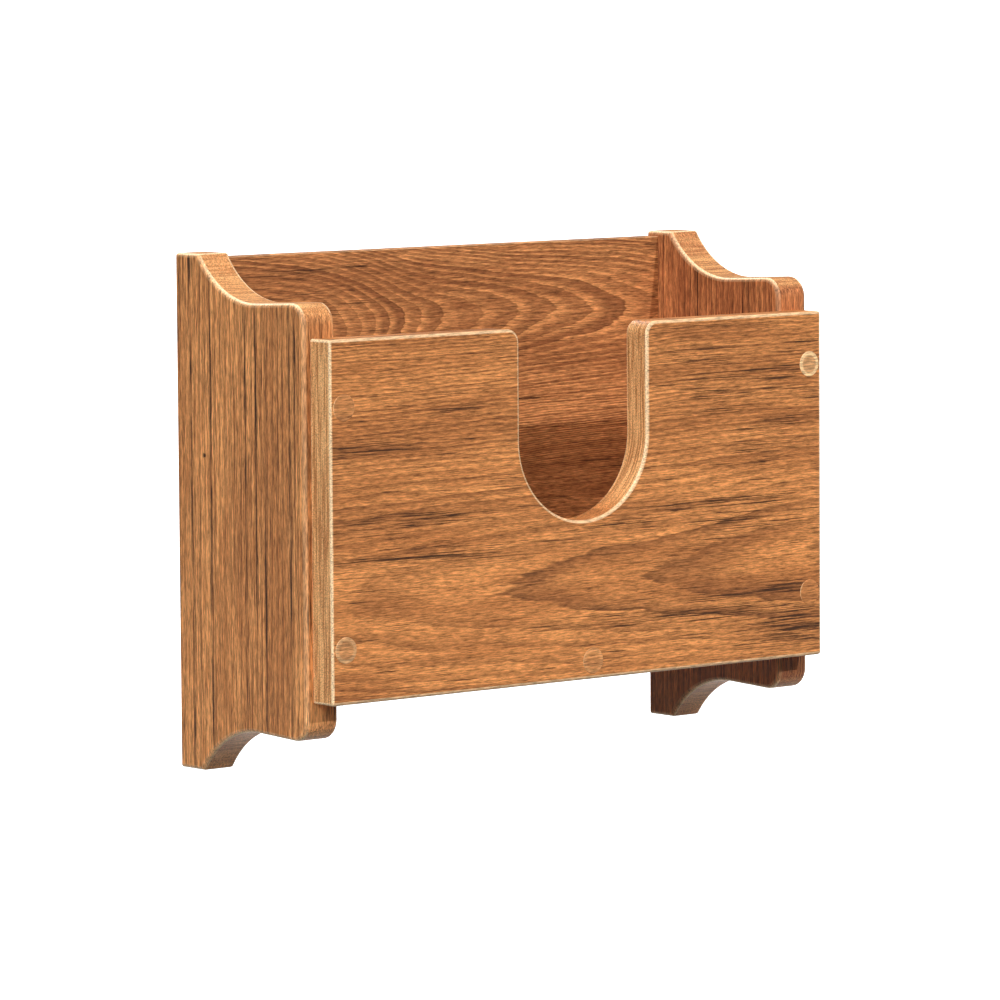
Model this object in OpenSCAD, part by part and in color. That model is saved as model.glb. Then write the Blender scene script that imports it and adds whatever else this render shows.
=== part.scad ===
// Wall magazine rack: two shaped side boards, a back panel, a shelf and a front panel with a
// hand notch. Plugged screws hold the front panel, and grooves hold the shelf and the back panel.
// X runs across the rack, the wall is the plane Y = 0, the front faces -Y, and Z = 0 is the
// middle of the side boards' height.

/* [Side boards] */
// Overall width, across both side boards
rack_w = 320; // [280:1:420]
// Height of a side board
board_h = 248; // [236:1:320]
// Depth of a side board, from the wall to its front edge
board_d = 98; // [90:1:140]
// Thickness of a side board
board_t = 19; // [17:1:24]
// Depth of the flat end that lies against the wall
tail_d = 17; // [13:1:22]
// How far the shoulder lies below the end of the board
shoulder_drop = 22; // [16:1:28]
// Radius of the hollow curve between the flat end and the shoulder
hollow_r = 50; // [44:1:60]
// Angle at which the shoulder leads outwards, towards the front
shoulder_tilt = 2.5; // [0:0.5:4]
// Radius of the nose where the shoulder meets the front edge
nose_r = 10; // [6:1:12]

/* [Front panel] */
// Height of the front panel
front_h = 172; // [160:1:174]
// Thickness of the front panel
front_t = 15; // [13:1:20]
// How much of the side boards shows beside the front panel
front_inset = 4; // [0:0.5:5]
// How far the front panel's middle lies above the middle of the side boards
front_rise = 1; // [-2:1:2]
// Width of the hand notch
notch_w = 81; // [60:1:110]
// Depth of the hand notch
notch_h = 94.5; // [70:0.5:110]
// Radius of the notch's two upper corners
notch_corner_r = 6.5; // [2:0.5:8]

/* [Back panel and shelf] */
// Thickness of the back panel
back_t = 8; // [8:0.5:12]
// How far the back panel's top lies below the ends of the side boards
back_drop = 2.5; // [1:0.5:6]
// Thickness of the shelf
shelf_t = 15; // [14:1:18]
// How far the shelf's underside lies above the front panel's lower edge
shelf_lift = 1.5; // [0:0.5:2]
// How deep the shelf and the back panel sit in the side boards
housing = 6; // [4:1:8]

/* [Screws and plugs] */
// Diameter of a plug
plug_d = 12.7; // [10:0.1:12.7]
// Depth of a plug's hole in the front panel
plug_hole_h = 7; // [5:0.5:8]
// Distance from the front panel's nearer edge to the lower left and upper right plugs
plug_margin = 26; // [20:1:40]
// How much further in the upper left and lower right plugs lie
plug_stagger = 6; // [0:1:12]
// How far the shelf's plug lies to the right of the middle
shelf_plug_x = 5; // [-10:1:10]
// Distance from a side board's outer face to the plugs at the front panel's ends
plug_inset = 12; // [11.5:0.5:12]
// Outer diameter of a screw's thread
screw_d = 4.2; // [3.5:0.1:4.5]
// Length of a screw in the front panel
front_screw_h = 38; // [30:1:45]
// Length of a screw in the back panel
back_screw_h = 30; // [25:1:40]
// Distance from the middle to a screw in the back panel
back_screw_x = 90; // [60:1:110]

/* [Wall fixing] */
// Distance between the two wall screws
wall_screw_gap = 64; // [40:1:68]
// Height of the wall screws above the middle of the side boards
wall_screw_z = 55; // [30:1:70]
// Diameter of a wall screw's hole
wall_hole_d = 4.5; // [4:0.5:5.5]
// Diameter of the countersink of a wall screw's hole
wall_sink_d = 9; // [8:0.5:10]

/* [Hidden] */
$fn = 64;

half_w = rack_w / 2;
inner_half_w = half_w - board_t;
housed_half_w = inner_half_w + housing;
board_top = board_h / 2;
back_top = board_top - back_drop;
front_y = -(board_d + front_t);
front_half_w = half_w - front_inset;
front_bottom = front_rise - front_h / 2;
front_top = front_bottom + front_h;
shelf_bottom = front_bottom + shelf_lift;
shelf_z = shelf_bottom + shelf_t / 2;

plug_x = half_w - plug_inset;
plug_z_left = [front_bottom + plug_margin, front_top - plug_margin - plug_stagger];
plug_z_right = [front_bottom + plug_margin + plug_stagger, front_top - plug_margin];
plug_gap = 0.1;    // the plug is this much smaller than its hole, all across
plug_proud = 0.2;  // sanded almost flush with the front panel's face

head_d = 2 * screw_d;
head_h = head_d / 2 - screw_d / 4;
core_d = 0.7 * screw_d;
thread_pitch = 2.4;
thread_share = 0.6;  // share of the screw's length that is threaded
recess_w = head_d / 2;
recess_t = head_d / 8;
recess_h = head_h / 2;
back_head_depth = 0.5;  // the heads in the back panel lie this far below its face

past = 1;  // how far a cutting solid runs past the face it opens

module upper_cut() {
    // The hollow curve, the leaning shoulder and the rounded nose, taken off the upper front
    // corner of a board drawn with its depth along X and its height along Y
    floor_y = board_top - shoulder_drop;
    hollow_y = floor_y + hollow_r;
    hollow_x = tail_d + sqrt(pow(hollow_r, 2) - pow(hollow_r - shoulder_drop, 2));
    meet_x = hollow_x + hollow_r * sin(shoulder_tilt);
    meet_y = hollow_y - hollow_r * cos(shoulder_tilt);
    edge_y = meet_y + (board_d - meet_x) * tan(shoulder_tilt);
    nose_x = board_d - nose_r;
    nose_y = edge_y - nose_r * tan(shoulder_tilt) - nose_r / cos(shoulder_tilt);
    nose_start = nose_x - nose_r * sin(shoulder_tilt);
    translate([hollow_x, hollow_y]) circle(r = hollow_r);
    polygon([
        [meet_x, meet_y],
        [board_d + past, edge_y + past * tan(shoulder_tilt)],
        [board_d + past, board_top + past],
        [meet_x, board_top + past]
    ]);
    difference() {
        translate([nose_start, nose_y]) square([board_d + past - nose_start, board_top - nose_y]);
        translate([nose_x, nose_y]) circle(r = nose_r);
    }
}

module board_outline() {
    difference() {
        translate([0, -board_top]) square([board_d, board_h]);
        upper_cut();
        mirror([0, 1]) upper_cut();
    }
}

module right_board(plug_z) {
    // The board with its housings for the shelf and the back panel, and its two pilot holes
    difference() {
        translate([half_w, 0, 0]) rotate([90, 0, -90]) linear_extrude(board_t) board_outline();
        translate([inner_half_w - past, -back_t, shelf_bottom])
            cube([housing + past, back_t + past, back_top - shelf_bottom]);
        translate([inner_half_w - past, -board_d - past, shelf_bottom])
            cube([housing + past, board_d + past, shelf_t]);
        for (z = plug_z) translate([plug_x, 0, z]) front_pilot();
    }
}

module front_pilot() {
    // The hole that a front screw cuts, from the plug's floor to the screw's tip
    translate([0, front_y + plug_hole_h, 0]) rotate([-90, 0, 0])
        cylinder(h = front_screw_h, d = screw_d);
}

module front_hole() {
    // A plug's hole, the countersink below it and the screw's hole
    translate([0, front_y, 0]) rotate([-90, 0, 0]) {
        translate([0, 0, -past]) cylinder(h = plug_hole_h + past, d = plug_d);
        translate([0, 0, plug_hole_h]) cylinder(h = head_h, d1 = head_d, d2 = screw_d);
        cylinder(h = front_t + past, d = screw_d);
    }
}

module screw(length) {
    // A countersunk wood screw with its head's face at Z = 0 and its tip at Z = length
    thread_z = length * (1 - thread_share);
    tip_z = length - screw_d;
    turns = floor((tip_z - thread_z) / thread_pitch);
    thread = [
        for (i = [0 : turns - 1]) for (p = [[core_d / 2, 0], [screw_d / 2, thread_pitch / 2]])
            [p[0], thread_z + i * thread_pitch + p[1]]
    ];
    difference() {
        rotate_extrude() polygon(concat(
            [[0, 0], [head_d / 2, 0], [screw_d / 2, head_h], [screw_d / 2, thread_z - screw_d / 4]],
            thread,
            [[core_d / 2, thread_z + turns * thread_pitch], [core_d / 2, tip_z], [0, length]]
        ));
        for (turn = [0, 90]) rotate([0, 0, turn])
            translate([-recess_w / 2, -recess_t / 2, -past]) cube([recess_w, recess_t, recess_h + past]);
    }
}

module side_board_right() {
    color("peru") right_board(plug_z_right);
}

module side_board_left() {
    color("peru") mirror([1, 0, 0]) right_board(plug_z_left);
}

module back_panel() {
    color("sienna") difference() {
        translate([-housed_half_w, -back_t, shelf_bottom])
            cube([2 * housed_half_w, back_t, back_top - shelf_bottom]);
        for (side = [-1, 1]) {
            translate([side * wall_screw_gap / 2, 0, wall_screw_z]) rotate([90, 0, 0]) {
                translate([0, 0, -past]) cylinder(h = back_t + 2 * past, d = wall_hole_d);
                translate([0, 0, back_t - (wall_sink_d - wall_hole_d) / 2])
                    cylinder(h = (wall_sink_d - wall_hole_d) / 2, d1 = wall_hole_d, d2 = wall_sink_d);
            }
            translate([side * back_screw_x, 0, shelf_z]) rotate([90, 0, 0]) {
                translate([0, 0, -past]) cylinder(h = back_t + 2 * past, d = screw_d);
                translate([0, 0, -past]) cylinder(h = back_head_depth + past, d = head_d);
                translate([0, 0, back_head_depth]) cylinder(h = head_h, d1 = head_d, d2 = screw_d);
            }
        }
    }
}

module bottom_shelf() {
    color("peru") difference() {
        translate([-housed_half_w, -board_d, shelf_bottom])
            cube([2 * housed_half_w, board_d - back_t, shelf_t]);
        translate([shelf_plug_x, 0, shelf_z]) front_pilot();
        for (side = [-1, 1]) translate([side * back_screw_x, -back_head_depth, shelf_z])
            rotate([90, 0, 0]) cylinder(h = back_screw_h, d = screw_d);
    }
}

module front_outline() {
    // The panel with its round-bottomed notch, whose upper corners are rounded off
    notch_r = notch_w / 2;
    difference() {
        translate([-front_half_w, front_bottom]) square([2 * front_half_w, front_h]);
        translate([0, front_top - notch_h + notch_r]) circle(r = notch_r);
        translate([-notch_r, front_top - notch_h + notch_r])
            square([notch_w, notch_h - notch_r + past]);
        for (side = [-1, 1]) scale([side, 1]) difference() {
            translate([notch_r - past, front_top - notch_corner_r])
                square([notch_corner_r + past, notch_corner_r + past]);
            translate([notch_r + notch_corner_r, front_top - notch_corner_r])
                circle(r = notch_corner_r);
        }
    }
}

module front_panel() {
    color("chocolate") difference() {
        translate([0, -board_d, 0]) rotate([90, 0, 0]) linear_extrude(front_t) front_outline();
        for (z = plug_z_left) translate([-plug_x, 0, z]) front_hole();
        for (z = plug_z_right) translate([plug_x, 0, z]) front_hole();
        translate([shelf_plug_x, 0, shelf_z]) front_hole();
    }
}

module plug_at(x, z) {
    color("burlywood") translate([x, front_y - plug_proud, z]) rotate([-90, 0, 0])
        cylinder(h = plug_hole_h + plug_proud, d = plug_d - plug_gap);
}

module front_screw_at(x, z) {
    color("silver") translate([x, front_y + plug_hole_h, z]) rotate([-90, 0, 0])
        screw(front_screw_h);
}

module back_screw_at(x) {
    color("silver") translate([x, -back_head_depth, shelf_z]) rotate([90, 0, 0])
        screw(back_screw_h);
}

side_board_left();
side_board_right();
back_panel();
front_panel();
bottom_shelf();
plug_at(-plug_x, plug_z_left[1]);  // plug_upper_left
plug_at(plug_x, plug_z_right[1]);  // plug_upper_right
plug_at(-plug_x, plug_z_left[0]);  // plug_lower_left
plug_at(plug_x, plug_z_right[0]);  // plug_lower_right
plug_at(shelf_plug_x, shelf_z);  // plug_shelf
front_screw_at(-plug_x, plug_z_left[1]);  // screw_upper_left
front_screw_at(plug_x, plug_z_right[1]);  // screw_upper_right
front_screw_at(-plug_x, plug_z_left[0]);  // screw_lower_left
front_screw_at(plug_x, plug_z_right[0]);  // screw_lower_right
front_screw_at(shelf_plug_x, shelf_z);  // screw_shelf
back_screw_at(-back_screw_x);  // screw_back_left
back_screw_at(back_screw_x);  // screw_back_right
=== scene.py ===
import math
from typing import NamedTuple

import bmesh
import bpy
from mathutils import Matrix, Vector


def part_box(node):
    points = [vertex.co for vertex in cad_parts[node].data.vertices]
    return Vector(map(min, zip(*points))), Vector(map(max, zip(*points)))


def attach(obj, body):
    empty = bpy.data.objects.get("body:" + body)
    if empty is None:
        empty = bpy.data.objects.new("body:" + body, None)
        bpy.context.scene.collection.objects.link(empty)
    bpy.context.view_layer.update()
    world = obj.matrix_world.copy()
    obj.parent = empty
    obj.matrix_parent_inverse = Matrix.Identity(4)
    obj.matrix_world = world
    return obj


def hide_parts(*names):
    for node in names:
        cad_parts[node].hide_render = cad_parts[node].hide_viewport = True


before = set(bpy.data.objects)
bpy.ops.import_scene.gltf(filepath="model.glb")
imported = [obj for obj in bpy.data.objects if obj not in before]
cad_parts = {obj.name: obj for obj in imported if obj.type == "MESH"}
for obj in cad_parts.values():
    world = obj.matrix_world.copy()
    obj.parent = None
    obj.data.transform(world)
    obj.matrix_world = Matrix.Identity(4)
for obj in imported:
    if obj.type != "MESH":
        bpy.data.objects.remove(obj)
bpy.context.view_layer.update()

MM = 0.001
boxes = {name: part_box(name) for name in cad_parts}

# ---------------------------------------------------------------- sizes

side_low, side_high = boxes["side_board_right"]
panel_back = boxes["front_panel"][1].y

EASE_SIDE = 2.0 * MM      # the side boards' outlines, the most rounded of all
EASE_PANEL = 1.4 * MM     # the front panel's edges at the front
EASE_SLIGHT = 0.6 * MM    # its edges behind, whatever lies against the wall, back panel and shelf
EASE_PLUG = 0.3 * MM


# ---------------------------------------------------------------- shader nodes

def rgb(red, green, blue):
    return (red, green, blue, 1.0)


class Graph:
    """Adds nodes to one material. A socket or a number may be given wherever a value is wanted."""

    def __init__(self, name):
        self.material = bpy.data.materials.new(name)
        self.material.use_nodes = True
        self.tree = self.material.node_tree
        self.shader = self.tree.nodes["Principled BSDF"]

    def add(self, kind, *values, **settings):
        node = self.tree.nodes.new(kind)
        for key, value in settings.items():
            setattr(node, key, value)
        for socket, value in zip(node.inputs, values):
            self.feed(socket, value)
        return node

    def feed(self, socket, value):
        if isinstance(value, bpy.types.NodeSocket):
            self.tree.links.new(value, socket)
        else:
            socket.default_value = value

    def math(self, operation, a, b=0.0, c=0.0):
        return self.add("ShaderNodeMath", a, b, c, operation=operation).outputs[0]

    def total(self, *values):
        """The sum of any number of values."""
        result = values[0]
        for value in values[1:]:
            result = self.math("ADD", result, value)
        return result

    def times(self, *values):
        """The product of any number of values."""
        result = values[0]
        for value in values[1:]:
            result = self.math("MULTIPLY", result, value)
        return result

    def minus(self, a, b):
        return self.math("SUBTRACT", a, b)

    def between(self, value, start, end):
        """start where the value is 0, end where it is 1, and evenly between them."""
        return self.math("MULTIPLY_ADD", value, end - start, start)

    def squares(self, *values):
        """The sum of the values' squares."""
        return self.total(*(self.times(value, value) for value in values))

    def step(self, value, low, high):
        """0 at low, 1 at high and a smooth change between them. low may be above high."""
        return self.add("ShaderNodeMapRange", value, low, high, 0.0, 1.0,
                        interpolation_type="SMOOTHSTEP").outputs[0]

    def mix(self, share, a, b, blend="MIX"):
        node = self.add("ShaderNodeMix", data_type="RGBA", blend_type=blend)
        for name, value in (("Factor_Float", share), ("A_Color", a), ("B_Color", b)):
            self.feed(next(s for s in node.inputs if s.identifier == name), value)
        return next(s for s in node.outputs if s.identifier == "Result_Color")


# ---------------------------------------------------------------- wood

class Tone(NamedTuple):
    """The colours of one board."""

    light: tuple   # clean wood
    dark: tuple    # its darker fibres
    ring: tuple    # the dark bands of its growth rings
    streak: tuple
    end: tuple     # end grain


class Grain(NamedTuple):
    """How a board was cut from its tree. All lengths are in millimetres."""

    along: str             # the grain's axis, X or Z
    pith: tuple            # the tree's heart, in the axes across the grain: Z and Y, or X and Y
    gap: float             # the rings' spacing
    lean: float            # how fast the rings widen along the grain, which draws pointed arches
    seed: float
    bend: float = 0.0      # 0 for rings in a cone, or the radius of rings in a paraboloid
    bulges: tuple = ()     # (place, half length, rings) where rings crowd along the grain
    patches: tuple = ()    # (place along, place across, half length, half width, strength) of streaks
    across: int = 0        # which of the two axes across the grain the patches use
    rough: float = 1.0     # how much the rings waver
    late: float = 0.45     # strength of the rings' broad dark bands
    line: float = 0.8      # strength of their thin dark lines
    streaks: float = 0.95  # strength of the streaks
    rise: float = 0.3      # where in the ring, from 0 to 1, its dark band begins
    fibre: float = 0.8     # strength of the fine fibres between the rings


class Wood(Graph):
    """The figure of a board, as a solid pattern that runs on through edges, holes and end grain.

    u is the place along the grain, v and w are those across it, in millimetres. A noise's salt
    keeps it unlike the others. Noises lie between 0 and 1, mostly near 0.5, so the limits given
    to step say how much of the wood a pattern takes up.
    """

    def __init__(self, name, grain):
        super().__init__(name)
        self.grain = grain
        place = self.add("ShaderNodeTexCoord").outputs["Object"]
        xyz = self.add("ShaderNodeSeparateXYZ", place).outputs
        order = {"X": (0, 2, 1), "Z": (2, 0, 1)}[grain.along]
        self.u, self.v, self.w = (self.times(xyz[i], 1 / MM) for i in order)
        self.broad = self.noise(160, 16, salt=2.7, detail=3.0, rough=0.6)
        self.fibre = self.noise(30, 1.0, salt=3.9, detail=4.0, rough=0.6)
        self.fine = self.noise(5, 0.6, salt=5.2, detail=3.0, rough=0.7)
        self.late, self.line = self.rings()
        self.gathering = self.gathered()
        threads = self.noise(32, 0.5, salt=7.4, detail=1.5, rough=0.6)
        self.streak = self.step(self.total(threads, self.gathering), 0.64, 0.69)
        pores = self.step(self.noise(7, 0.45, salt=8.8, detail=1.0), 0.62, 0.74)
        self.pore = self.times(pores, self.between(self.late, 0.35, 0.95))
        self.endness = self.turned_across()

    def noise(self, length, width, salt, detail=2.0, rough=0.5, depth=None):
        """Noise whose blots are length along the grain and width across it, in millimetres.

        depth is their size along w, where it isn't width.
        """
        spot = self.add("ShaderNodeCombineXYZ", self.times(self.u, 1 / length),
                        self.times(self.v, 1 / width),
                        self.times(self.w, 1 / (depth or width))).outputs[0]
        node = self.add("ShaderNodeTexNoise", noise_dimensions="4D")
        values = {"Vector": spot, "W": self.grain.seed + salt, "Scale": 1.0, "Detail": detail,
                  "Roughness": rough}
        for socket, value in values.items():
            self.feed(node.inputs[socket], value)
        return node.outputs["Fac"]

    def centred(self, noise, size):
        """A noise that goes size / 2 to each side of 0."""
        return self.times(self.minus(noise, 0.5), size)

    def growth(self):
        """How many rings lie between the tree's heart and here."""
        grain = self.grain
        out_v, out_w = (self.minus(axis, heart) for axis, heart in zip((self.v, self.w), grain.pith))
        out_v = self.total(out_v, self.centred(self.noise(150, 45, salt=0.3), 16.0))
        squares = self.squares(out_v, out_w)
        radius = self.times(squares, 0.5 / grain.bend) if grain.bend else self.math("SQRT", squares)
        waves = self.centred(self.noise(45, 9, salt=1.1), 2.4 * grain.rough)
        ripples = self.centred(self.noise(14, 1.2, salt=1.7), 1.2 * grain.rough)
        radius = self.total(radius, waves, ripples, self.times(self.u, -grain.lean))
        growth = self.times(radius, 1 / grain.gap)
        for middle, half, rings in grain.bulges:
            crowding = self.times(self.step(self.u, middle - half, middle + half), rings)
            growth = self.total(growth, crowding)
        return growth

    def rings(self):
        """The broad dark band of each year's ring, and the thin line at its end."""
        growth = self.growth()
        season = self.math("FRACT", growth)
        chance = self.add("ShaderNodeTexWhiteNoise", noise_dimensions="1D")
        self.feed(chance.inputs["W"], self.total(self.math("FLOOR", growth), self.grain.seed))
        vigour = chance.outputs["Value"]
        band = self.times(self.step(season, self.grain.rise, self.grain.rise + 0.55),
                          self.step(season, 1.0, 0.94), self.between(vigour, 0.5, 1.0))
        uneven = self.step(self.noise(50, 8, salt=2.2), 0.38, 0.56)
        line = self.times(self.step(season, 0.84, 0.94), self.step(season, 1.0, 0.96), vigour, uneven)
        return band, line

    def gathered(self):
        """How much more likely a streak is here: a little in places of chance, more in a patch."""
        gathering = self.times(self.step(self.noise(150, 14, salt=6.6), 0.48, 0.66), 0.07)
        side = (self.v, self.w)[self.grain.across]
        for at_u, at_side, half_u, half_side, strength in self.grain.patches:
            away_u = self.times(self.minus(self.u, at_u), 1 / half_u)
            away_side = self.times(self.minus(side, at_side), 1 / half_side)
            bell = self.math("EXPONENT", self.times(self.squares(away_u, away_side), -1.0))
            gathering = self.math("MAXIMUM", gathering, self.times(bell, strength))
        return gathering

    def turned_across(self):
        """0 on the long grain and 1 where the surface is turned across it."""
        normal = self.add("ShaderNodeNewGeometry").outputs["Normal"]
        facing = self.add("ShaderNodeSeparateXYZ", normal).outputs[self.grain.along]
        return self.step(self.math("ABSOLUTE", facing), 0.35, 0.90)

    def long_colour(self, tone):
        """The colour of the faces and edges that run along the grain."""
        colour = self.mix(self.times(self.step(self.broad, 0.38, 0.64), 0.60), tone.light, tone.dark)
        fibres = self.times(self.step(self.fibre, 0.42, 0.62), self.grain.fibre)
        colour = self.mix(fibres, colour, tone.dark)
        fading = self.between(self.endness, 1.0, 0.25)
        for strength, pattern, shade in ((2.2, self.gathering, tone.ring),
                                         (self.grain.late, self.late, tone.ring),
                                         (self.grain.line, self.line, tone.streak),
                                         (self.grain.streaks, self.streak, tone.streak),
                                         (0.75, self.pore, tone.streak)):
            colour = self.mix(self.times(pattern, strength, fading), colour, shade)
        return colour

    def end_colour(self, tone):
        """The colour of end grain, with the rings as narrow bands and the pores as dots."""
        bands = self.step(self.noise(400, 30, salt=9.9, rough=0.6, depth=0.9), 0.44, 0.58)
        dots = self.step(self.noise(1.0, 0.8, salt=11.1, detail=1.0), 0.64, 0.74)
        colour = self.mix(self.times(bands, 0.75), tone.end, tone.dark)
        return self.mix(self.times(dots, 0.55), colour, tone.ring)

    def colour(self, tone):
        return self.mix(self.endness, self.long_colour(tone), self.end_colour(tone))

    def pale_ring(self, colour, tone, x, z, radius, strength):
        """Makes a plug's face paler, most of all in a ring near its rim. Its grain runs along X."""
        away = self.math("SQRT", self.squares(self.minus(self.u, x), self.minus(self.v, z)))
        ring = self.between(self.step(away, 0.62 * radius, 0.78 * radius), 0.35, 1.0)
        return self.mix(self.times(ring, strength), colour, tone.end)

    def finish(self, colour):
        """Feeds the shader the colour, with fine fibres in it, and an oiled wood's gloss and relief."""
        shade = self.total(1.0, self.centred(self.fine, 3.2))
        grey = self.add("ShaderNodeCombineColor", shade, shade, shade).outputs[0]
        inputs = self.shader.inputs
        self.feed(inputs["Base Color"], self.mix(1.0, colour, grey, "MULTIPLY"))
        self.feed(inputs["Roughness"], self.between(self.fibre, 0.38, 0.58))
        inputs["Specular IOR Level"].default_value = 0.25
        bump = self.add("ShaderNodeBump")
        bump.inputs["Strength"].default_value = 0.5
        bump.inputs["Distance"].default_value = 0.12 * MM
        height = self.minus(self.times(self.fine, 0.8), self.times(self.pore, 0.5))
        self.feed(bump.inputs["Height"], height)
        self.feed(inputs["Normal"], bump.outputs["Normal"])
        return self.material


PALE_SANDED_AND_HIGHLIGHT = rgb(1.0, 0.72, 0.42)  # the sanded edges' own paleness, and a painted highlight along the rounded edges

LEFT_TONE = Tone(light=rgb(0.98, 0.445, 0.160), dark=rgb(0.43, 0.155, 0.050),
                 ring=rgb(0.20, 0.070, 0.026), streak=rgb(0.040, 0.017, 0.007),
                 end=rgb(0.78, 0.39, 0.155))
RIGHT_TONE = Tone(light=rgb(0.66, 0.252, 0.092), dark=rgb(0.33, 0.100, 0.036),
                  ring=rgb(0.18, 0.052, 0.020), streak=rgb(0.045, 0.014, 0.006),
                  end=rgb(0.74, 0.37, 0.145))
FRONT_TONE = Tone(light=rgb(0.86, 0.352, 0.112), dark=rgb(0.39, 0.132, 0.039),
                  ring=rgb(0.18, 0.057, 0.020), streak=rgb(0.045, 0.017, 0.006),
                  end=rgb(0.90, 0.50, 0.21))
BACK_TONE = Tone(light=rgb(0.82, 0.350, 0.122), dark=rgb(0.36, 0.124, 0.040),
                 ring=rgb(0.17, 0.050, 0.018), streak=rgb(0.045, 0.016, 0.006),
                 end=rgb(0.70, 0.38, 0.16))
PLUG_TONE = Tone(light=rgb(0.74, 0.310, 0.104), dark=rgb(0.48, 0.185, 0.058),
                 ring=rgb(0.32, 0.110, 0.038), streak=rgb(0.10, 0.040, 0.015),
                 end=rgb(0.98, 0.66, 0.34))

# The left board's last patch is its small knot.
LEFT_GRAIN = Grain("Z", pith=(-150, 190), gap=4.0, lean=0.012, seed=11.0, across=1, patches=(
    (0, -11, 400, 0.8, 0.19), (20, -26, 300, 0.9, 0.22), (-20, -53, 300, 0.8, 0.18),
    (40, -61, 160, 0.9, 0.22), (-60, -68, 150, 0.9, 0.22), (0, -87, 300, 0.9, 0.20),
    (60, -91, 120, 0.8, 0.22), (28, -21, 0.9, 0.9, 0.6)))
RIGHT_GRAIN = Grain("Z", pith=(150, 170), gap=4.0, lean=-0.010, seed=23.0, across=1, patches=(
    (80, -38, 200, 0.9, 0.16), (80, -57, 200, 0.9, 0.16), (80, -72, 200, 1.0, 0.18)))
FRONT_GRAIN = Grain("X", pith=(-37, -99.8), gap=3.35, lean=0.034, seed=37.0, bend=60.0, late=0.58,
                    line=0.65, fibre=0.42, patches=(
    (-130, 35, 34, 3.0, 0.17), (-76, 51, 18, 1.5, 0.16), (-115, 0, 60, 4, 0.13),
    (-100, -18, 60, 4, 0.13), (82, 72, 34, 2.0, 0.14), (130, 60, 34, 2.5, 0.16),
    (135, 34, 26, 3, 0.15), (85, -4, 60, 3, 0.14), (120, -50, 50, 4, 0.18),
    # The last patch is a broad darkening of the panel's lower right corner.
    (70, -58, 90, 4, 0.14), (138, -68, 40, 11, 0.165)))
BACK_GRAIN = Grain("X", pith=(86, 0), gap=1.0, lean=-0.042, seed=41.0, bend=65.0,
                   bulges=((-45, 45, 4.5),), rough=0.3, late=0.75, line=0.3, rise=0.05, fibre=0.6)
SHELF_GRAIN = Grain("X", pith=(-20, -150), gap=6.0, lean=0.02, seed=53.0)


def board_teak(name, grain, tone, paling_and_highlight):
    """The material of a board's faces and that of its rounded edges, which are mixed towards a pale
    cream by the given share, and fully where end grain shows: partly sanded wood's own paleness, partly
    a painted highlight.
    """
    faces, edges = Wood(name, grain), Wood(name + "_edge", grain)
    # Painted highlight: the rounded edges are made paler, standing partly for sanded wood and partly
    # for light caught along them
    pale_and_highlight_share = edges.between(edges.endness, paling_and_highlight, 1.0)
    return (faces.finish(faces.colour(tone)),
            edges.finish(edges.mix(pale_and_highlight_share, edges.colour(tone), PALE_SANDED_AND_HIGHLIGHT)))


def plug_teak(plug, number, strength):
    """The material of a plug, with a paler ring of the given strength."""
    low, high = boxes[plug]
    x, _, z = (low + high) / 2 / MM
    radius = (high.x - low.x) / 2 / MM
    grain = Grain("X", pith=(z + 25, -90), gap=5.0, lean=0.02, seed=60.0 + 7 * number, streaks=0.4)
    wood = Wood("teak_" + plug, grain)
    return wood.finish(wood.pale_ring(wood.colour(PLUG_TONE), PLUG_TONE, x, z, radius, strength))


def steel():
    """Plain stainless steel with fine, uneven polishing marks."""
    graph = Graph("screw_steel")
    noise = graph.add("ShaderNodeTexNoise")
    graph.feed(noise.inputs["Vector"], graph.add("ShaderNodeTexCoord").outputs["Object"])
    noise.inputs["Scale"].default_value = 900.0
    noise.inputs["Detail"].default_value = 3.0
    marks = noise.outputs["Fac"]
    tint = graph.mix(marks, rgb(0.50, 0.49, 0.47), rgb(0.66, 0.65, 0.62))
    graph.feed(graph.shader.inputs["Base Color"], tint)
    graph.feed(graph.shader.inputs["Roughness"], graph.between(marks, 0.22, 0.47))
    graph.shader.inputs["Metallic"].default_value = 1.0
    return graph.material


# ---------------------------------------------------------------- rounded edges

SHARP = math.radians(30)   # edges blunter than this are left as they are
FLAT = math.radians(0.5)   # faces that meet at less than this become one
MERGE = 0.001 * MM
TOUCH = 0.15 * MM
NEAR = 1.0 * MM


def side_ease(middle, direction):
    """The outline is well rounded, except against the wall and across the board."""
    at_wall = middle.y > side_high.y - NEAR
    crosswise = abs(direction.x) > 0.9
    return EASE_SLIGHT if at_wall or crosswise else EASE_SIDE


def front_ease(middle, direction):
    return EASE_SLIGHT if middle.y > panel_back - NEAR else EASE_PANEL


def slight_ease(middle, direction):
    return EASE_SLIGHT


def plug_ease(middle, direction):
    return EASE_PLUG


def touches(point, node):
    """True if the point lies in a CAD node's box or on it."""
    return all(a - TOUCH <= p <= b + TOUCH for p, a, b in zip(point, *boxes[node]))


def weighted_mesh(node, ease, keep_sharp):
    """A copy of a CAD node's mesh, its edges weighted by how much they are to be rounded."""
    bm = bmesh.new()
    bm.from_mesh(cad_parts[node].data)
    bmesh.ops.remove_doubles(bm, verts=bm.verts, dist=MERGE)
    bmesh.ops.dissolve_limit(bm, angle_limit=FLAT, verts=bm.verts, edges=bm.edges)
    weight = bm.edges.layers.float.new("bevel_weight_edge")
    for face in bm.faces:
        face.smooth = True
        face.material_index = 0
    for edge in bm.edges:
        if len(edge.link_faces) != 2 or edge.calc_face_angle() < SHARP:
            continue
        a, b = (vertex.co for vertex in edge.verts)
        middle = (a + b) / 2
        if any(touches(middle, other) for other in keep_sharp):
            edge.smooth = False
        else:
            edge[weight] = ease(middle, (b - a).normalized()) / EASE_SIDE
    mesh = bpy.data.meshes.new(node + "_eased")
    bm.to_mesh(mesh)
    bm.free()
    return mesh


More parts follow.
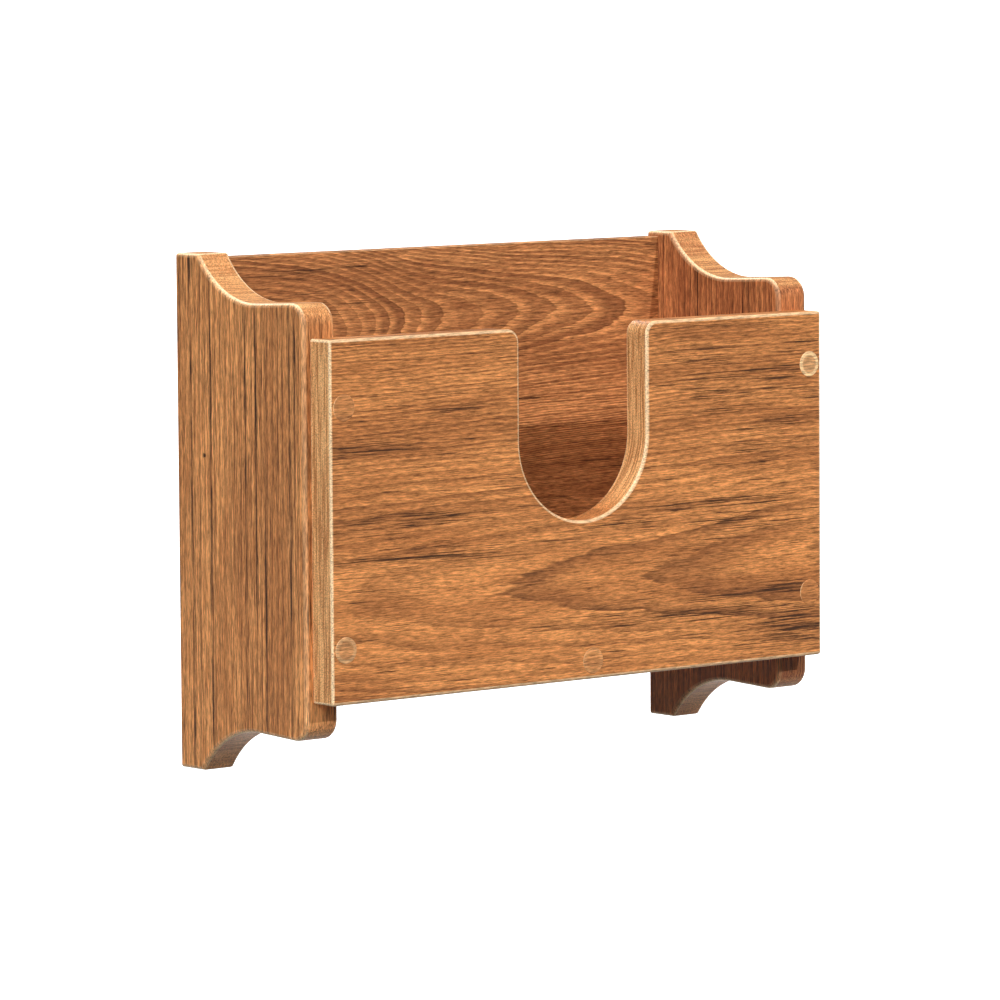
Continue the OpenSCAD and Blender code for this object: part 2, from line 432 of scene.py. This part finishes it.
def eased(node, materials, ease, keep_sharp=()):
    """A copy of a CAD node with rounded edges, which replaces it.

    ease(middle, direction) gives an edge's radius. Edges that touch a node in keep_sharp stay
    sharp. The first material is the faces' and the last that of the rounded edges.
    """
    mesh = weighted_mesh(node, ease, keep_sharp)
    piece = bpy.data.objects.new(node + "_eased", mesh)
    bpy.context.collection.objects.link(piece)
    for material in materials:
        mesh.materials.append(material)
    bevel = piece.modifiers.new("easing", "BEVEL")
    bevel.limit_method = "WEIGHT"
    bevel.width = EASE_SIDE
    bevel.segments = 4
    bevel.use_clamp_overlap = False
    bevel.material = len(materials) - 1
    normals = piece.modifiers.new("normals", "WEIGHTED_NORMAL")
    normals.keep_sharp = True
    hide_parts(node)
    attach(piece, "root")


# ---------------------------------------------------------------- pieces

SIDES = ["side_board_left", "side_board_right"]
SCREWS = [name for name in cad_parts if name.startswith("screw")]
PLUG_RINGS = {"plug_upper_left": 0.05, "plug_upper_right": 0.9, "plug_lower_left": 0.35,
              "plug_lower_right": 0.0, "plug_shelf": 0.12}


def boards():
    in_the_sides = ["bottom_shelf", "back_panel", *SCREWS]
    eased("side_board_left", board_teak("teak_left", LEFT_GRAIN, LEFT_TONE, 0.15),
          side_ease, in_the_sides)
    eased("side_board_right",
          board_teak("teak_right", RIGHT_GRAIN, RIGHT_TONE, 0.15), side_ease, in_the_sides)
    eased("back_panel", board_teak("teak_back", BACK_GRAIN, BACK_TONE, 0.2),
          slight_ease, [*SIDES, "bottom_shelf", *SCREWS])
    eased("bottom_shelf", board_teak("teak_shelf", SHELF_GRAIN, RIGHT_TONE, 0.2),
          slight_ease, [*SIDES, "back_panel", "front_panel", *SCREWS])
    eased("front_panel", board_teak("teak_front", FRONT_GRAIN, FRONT_TONE, 0.6),
          front_ease, [*PLUG_RINGS, *SCREWS])


def plugs():
    for number, (plug, strength) in enumerate(PLUG_RINGS.items()):
        eased(plug, [plug_teak(plug, number, strength)], plug_ease)


def screws():
    """The screws are the CAD's own."""
    metal = steel()
    for name in SCREWS:
        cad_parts[name].data.materials.clear()
        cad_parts[name].data.materials.append(metal)


# ---------------------------------------------------------------- stage, light and camera

def stage_piece(name, corners, faces, glow):
    """A white part of the stage. It doesn't light the rack, and casts no shadow on it."""
    mesh = bpy.data.meshes.new(name)
    mesh.from_pydata(corners, [], faces)
    piece = bpy.data.objects.new(name, mesh)
    bpy.context.collection.objects.link(piece)
    material = bpy.data.materials.new(name + "_white")
    material.use_nodes = True
    inputs = material.node_tree.nodes["Principled BSDF"].inputs
    inputs["Base Color"].default_value = rgb(0.9, 0.9, 0.9)
    inputs["Roughness"].default_value = 0.9
    inputs["Specular IOR Level"].default_value = 0.1
    inputs["Emission Color"].default_value = rgb(1.0, 1.0, 1.0)
    inputs["Emission Strength"].default_value = glow
    mesh.materials.append(material)
    piece.visible_diffuse = False
    piece.visible_shadow = False
    return piece


def stage():
    """A wide floor well below the rack, which hangs on a wall that isn't shown, and far round it
    a backdrop, which gives level views a pale background too."""
    drop, half, height, sides = 2.6, 14.0, 20.0, 64
    z = side_low.z - drop
    corners = [(-half, -half, z), (half, -half, z), (half, half, z), (-half, half, z)]
    stage_piece("floor", corners, [(0, 1, 2, 3)], glow=0.25)
    turns = [2 * math.pi * i / sides for i in range(sides)]
    ring = [(half * math.cos(turn), half * math.sin(turn)) for turn in turns]
    corners = [(x, y, level) for level in (z, z + height) for x, y in ring]
    faces = [(i, (i + 1) % sides, sides + (i + 1) % sides, sides + i) for i in range(sides)]
    backdrop = stage_piece("backdrop", corners, faces, glow=1.0)
    backdrop.visible_glossy = False


def sun(name, azimuth, elevation, strength, softness):
    """A far light. Azimuth 0 is in front of the rack and 90 to its right, in degrees."""
    light = bpy.data.lights.new(name, "SUN")
    light.energy = strength
    light.angle = math.radians(softness)
    lamp = bpy.data.objects.new(name, light)
    a, e = math.radians(azimuth), math.radians(elevation)
    towards = Vector((math.sin(a) * math.cos(e), -math.cos(a) * math.cos(e), math.sin(e)))
    lamp.rotation_euler = towards.to_track_quat("Z", "Y").to_euler()
    bpy.context.collection.objects.link(lamp)


def studio():
    """A key light in front, a broad fill from the left, one from the top and one from behind."""
    sun("key", azimuth=10, elevation=32, strength=1.45, softness=1)
    sun("fill", azimuth=-62, elevation=35, strength=2.35, softness=40)
    sun("top", azimuth=0, elevation=75, strength=0.9, softness=60)
    sun("rear", azimuth=165, elevation=38, strength=1.0, softness=20)
    world = bpy.data.worlds.new("surround")
    world.use_nodes = True
    background = world.node_tree.nodes["Background"]
    background.inputs["Color"].default_value = rgb(1.0, 1.0, 1.0)
    background.inputs["Strength"].default_value = 0.11
    bpy.context.scene.world = world
    bpy.context.scene.view_settings.view_transform = "Standard"


def camera():
    """A long lens at the left, slightly above the rack."""
    azimuth, elevation, roll = (math.radians(angle) for angle in (40.0, 5.17, -0.4))
    distance = 3.0697                        # metres, from the foot of the rack at the wall
    aim_right, aim_up = 0.0310, 0.1186       # metres, from that foot to the picture's middle
    lens, sensor = 221.6, 36.0               # millimetres
    level = Vector((math.cos(azimuth), -math.sin(azimuth), 0.0))
    flat_ahead = Vector((math.sin(azimuth), math.cos(azimuth), 0.0))
    ahead = math.cos(elevation) * flat_ahead - math.sin(elevation) * Vector((0, 0, 1))
    upright = level.cross(ahead)
    right = math.cos(roll) * level + math.sin(roll) * upright
    up = math.cos(roll) * upright - math.sin(roll) * level
    data = bpy.data.cameras.new("camera")
    data.sensor_width = sensor
    data.lens = lens
    eye = bpy.data.objects.new("camera", data)
    wall_foot = Vector((0.0, 0.0, side_low.z))
    matrix = Matrix((right, up, -ahead)).transposed().to_4x4()
    matrix.translation = wall_foot - distance * ahead + aim_right * right + aim_up * up
    eye.matrix_world = matrix
    bpy.context.collection.objects.link(eye)
    bpy.context.scene.camera = eye


boards()
plugs()
screws()
stage()
studio()
camera()
